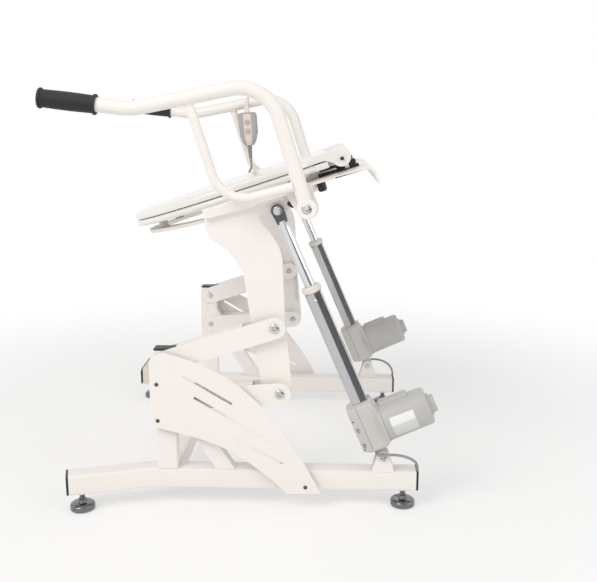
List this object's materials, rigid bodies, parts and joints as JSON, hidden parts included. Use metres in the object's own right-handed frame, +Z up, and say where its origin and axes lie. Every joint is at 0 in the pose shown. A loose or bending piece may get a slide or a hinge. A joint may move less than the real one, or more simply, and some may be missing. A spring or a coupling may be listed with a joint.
{
  "type": "powered seat lift with parallel arms",
  "caption": "Powered lift seat for a bathroom: splayed base, posts with parallel arms, screw actuators, tilting seat frame, hinged seat and lid, folding armrests, hand control",
  "frame": {"origin": "centre of the footprint, on the floor under the levelling feet", "axes": "+Z up, the user sits facing -X, the user's left hand is on -Y; the seat frame is raised"},
  "size_m": [0.6954, 0.695, 0.7811],
  "materials": {
    "white_powder_coat": "warm white powder coat, satin",
    "white_gloss_seat": "smooth gloss white plastic",
    "black_plastic": "moulded black plastic",
    "black_rubber": "soft black grip rubber",
    "bright_steel": "polished and plated steel",
    "dark_chrome": "dark plated foot, bright",
    "aluminium": "drawn aluminium tube, satin",
    "grey_plastic": "light grey moulded housing",
    "pale_plastic": "pale grey moulded plastic",
    "cord_grey": "flexible grey sheath"
  },
  "bodies": {
    "base": {"base_rail_left": "white_powder_coat", "base_rail_right": "white_powder_coat", "base_crossbar": "white_powder_coat", "post_left": "white_powder_coat", "post_right": "white_powder_coat", "side_cover_left": "white_powder_coat", "side_cover_right": "white_powder_coat", "leg_cap_left": "black_plastic", "leg_cap_right": "black_plastic", "rail_cap_left": "black_plastic", "rail_cap_right": "black_plastic", "post_cap_left": "black_plastic", "post_cap_right": "black_plastic", "actuator_foot_bolt_left": "bright_steel", "actuator_foot_bolt_right": "bright_steel", "control_box": "pale_plastic", "motor_cable_left": "cord_grey", "motor_cable_right": "cord_grey"},
    "carriage": {"carrier_plate_left": "white_powder_coat", "carrier_plate_right": "white_powder_coat", "seat_frame": "white_powder_coat", "rear_plate": "white_powder_coat", "hinge_post_left": "black_plastic", "hinge_post_right": "black_plastic", "upper_pivot_bolt_left": "bright_steel", "upper_pivot_bolt_right": "bright_steel", "lower_pivot_bolt_left": "bright_steel", "lower_pivot_bolt_right": "bright_steel", "armrest_bolt_left": "bright_steel", "armrest_bolt_right": "bright_steel"},
    "seat": {"seat_ring": "white_gloss_seat"},
    "lid": {"seat_lid": "white_gloss_seat"},
    "handset": {"handset": "pale_plastic", "handset_cord": "cord_grey"},
    "button_up": {"handset_button_up": "black_plastic"},
    "button_down": {"handset_button_down": "black_plastic"},
    "upper_arm_left": {"upper_arm_left": "white_powder_coat"},
    "lower_arm_left": {"lower_arm_left": "white_powder_coat"},
    "actuator_left": {"gear_housing_left": "grey_plastic", "gear_cover_left": "grey_plastic", "motor_left": "grey_plastic", "outer_tube_left": "aluminium", "collar_left": "pale_plastic"},
    "rod_left": {"rod_left": "bright_steel"},
    "armrest_left": {"armrest_tube_left": "white_powder_coat", "grip_left": "black_rubber"},
    "foot_front_left": {"foot_front_left": "dark_chrome"},
    "foot_rear_left": {"foot_rear_left": "dark_chrome"},
    "upper_arm_right": {"upper_arm_right": "white_powder_coat"},
    "lower_arm_right": {"lower_arm_right": "white_powder_coat"},
    "actuator_right": {"gear_housing_right": "grey_plastic", "gear_cover_right": "grey_plastic", "motor_right": "grey_plastic", "outer_tube_right": "aluminium", "collar_right": "pale_plastic"},
    "rod_right": {"rod_right": "bright_steel"},
    "armrest_right": {"armrest_tube_right": "white_powder_coat", "grip_right": "black_rubber"},
    "foot_front_right": {"foot_front_right": "dark_chrome"},
    "foot_rear_right": {"foot_rear_right": "dark_chrome"}
  },
  "joints": [
    {"name": "lift", "type": "hinge", "parent": "base", "child": "upper_arm_left", "pos_m": [-0.153, -0.2875, 0.285], "axis": [0, 1, 0], "range_deg": [0, 29]},
    {"name": "upper_arm_right_turn", "type": "hinge", "parent": "base", "child": "upper_arm_right", "pos_m": [-0.153, 0.2875, 0.285], "axis": [0, 1, 0], "range_deg": [0, 29.5]},
    {"name": "lower_arm_left_turn", "type": "hinge", "parent": "base", "child": "lower_arm_left", "pos_m": [-0.153, -0.2875, 0.211], "axis": [0, 1, 0], "range_deg": [0, 29.5]},
    {"name": "lower_arm_right_turn", "type": "hinge", "parent": "base", "child": "lower_arm_right", "pos_m": [-0.153, 0.2875, 0.211], "axis": [0, 1, 0], "range_deg": [0, 29.5]},
    {"name": "carriage_tilt", "type": "hinge", "parent": "upper_arm_left", "child": "carriage", "pos_m": [0.0466, 0, 0.3486], "axis": [0, 1, 0], "range_deg": [-17.5, 0]},
    {"name": "actuator_left_lean", "type": "hinge", "parent": "base", "child": "actuator_left", "pos_m": [0.2475, -0.2875, 0.103], "axis": [0, 1, 0], "range_deg": [0, 1]},
    {"name": "rod_left_slide", "type": "slide", "parent": "actuator_left", "child": "rod_left", "axis": [-0.3921, 0, 0.9199], "range_m": [-0.124, 0]},
    {"name": "actuator_right_lean", "type": "hinge", "parent": "base", "child": "actuator_right", "pos_m": [0.2475, 0.2875, 0.103], "axis": [0, 1, 0], "range_deg": [0, 1]},
    {"name": "rod_right_slide", "type": "slide", "parent": "actuator_right", "child": "rod_right", "axis": [-0.3921, 0, 0.9199], "range_m": [-0.124, 0]},
    {"name": "armrest_left_raise", "type": "hinge", "parent": "carriage", "child": "armrest_left", "pos_m": [0.1055, -0.33, 0.5675], "axis": [0, 1, 0], "range_deg": [0, 90]},
    {"name": "armrest_right_raise", "type": "hinge", "parent": "carriage", "child": "armrest_right", "pos_m": [0.1055, 0.33, 0.5675], "axis": [0, 1, 0], "range_deg": [0, 90]},
    {"name": "seat_raise", "type": "hinge", "parent": "carriage", "child": "seat", "pos_m": [0.168, 0, 0.645], "axis": [0, 1, 0], "range_deg": [0, 80]},
    {"name": "lid_raise", "type": "hinge", "parent": "seat", "child": "lid", "pos_m": [0.168, 0, 0.645], "axis": [0, 1, 0], "range_deg": [0, 95]},
    {"name": "handset_lift_off", "type": "slide", "parent": "armrest_right", "child": "handset", "axis": [0, 0, 1], "range_m": [0, 0.03]},
    {"name": "button_up_press", "type": "slide", "parent": "handset", "child": "button_up", "axis": [0, 1, 0], "range_m": [0, 0.001], "stiffness_N_per_m": 400, "springref_m": -0.0015},
    {"name": "button_down_press", "type": "slide", "parent": "handset", "child": "button_down", "axis": [0, 1, 0], "range_m": [0, 0.001], "stiffness_N_per_m": 400, "springref_m": -0.0015},
    {"name": "foot_front_left_screw", "type": "slide", "parent": "base", "child": "foot_front_left", "axis": [0, 0, -1], "range_m": [0, 0.012]},
    {"name": "foot_rear_left_screw", "type": "slide", "parent": "base", "child": "foot_rear_left", "axis": [0, 0, -1], "range_m": [0, 0.012]},
    {"name": "foot_front_right_screw", "type": "slide", "parent": "base", "child": "foot_front_right", "axis": [0, 0, -1], "range_m": [0, 0.012]},
    {"name": "foot_rear_right_screw", "type": "slide", "parent": "base", "child": "foot_rear_right", "axis": [0, 0, -1], "range_m": [0, 0.012]}
  ],
  "couplings": [
    {"joint": "upper_arm_right_turn", "follows": "lift", "ratio": 1},
    {"joint": "lower_arm_left_turn", "follows": "lift", "ratio": 1.007},
    {"joint": "lower_arm_right_turn", "follows": "lift", "ratio": 1.007},
    {"joint": "carriage_tilt", "follows": "lift", "ratio": -0.5925},
    {"joint": "actuator_left_lean", "follows": "lift", "ratio": 0.03},
    {"joint": "rod_left_slide", "follows": "lift", "m_per_rad": -0.2395},
    {"joint": "actuator_right_lean", "follows": "lift", "ratio": 0.03},
    {"joint": "rod_right_slide", "follows": "lift", "m_per_rad": -0.2395}
  ]
}
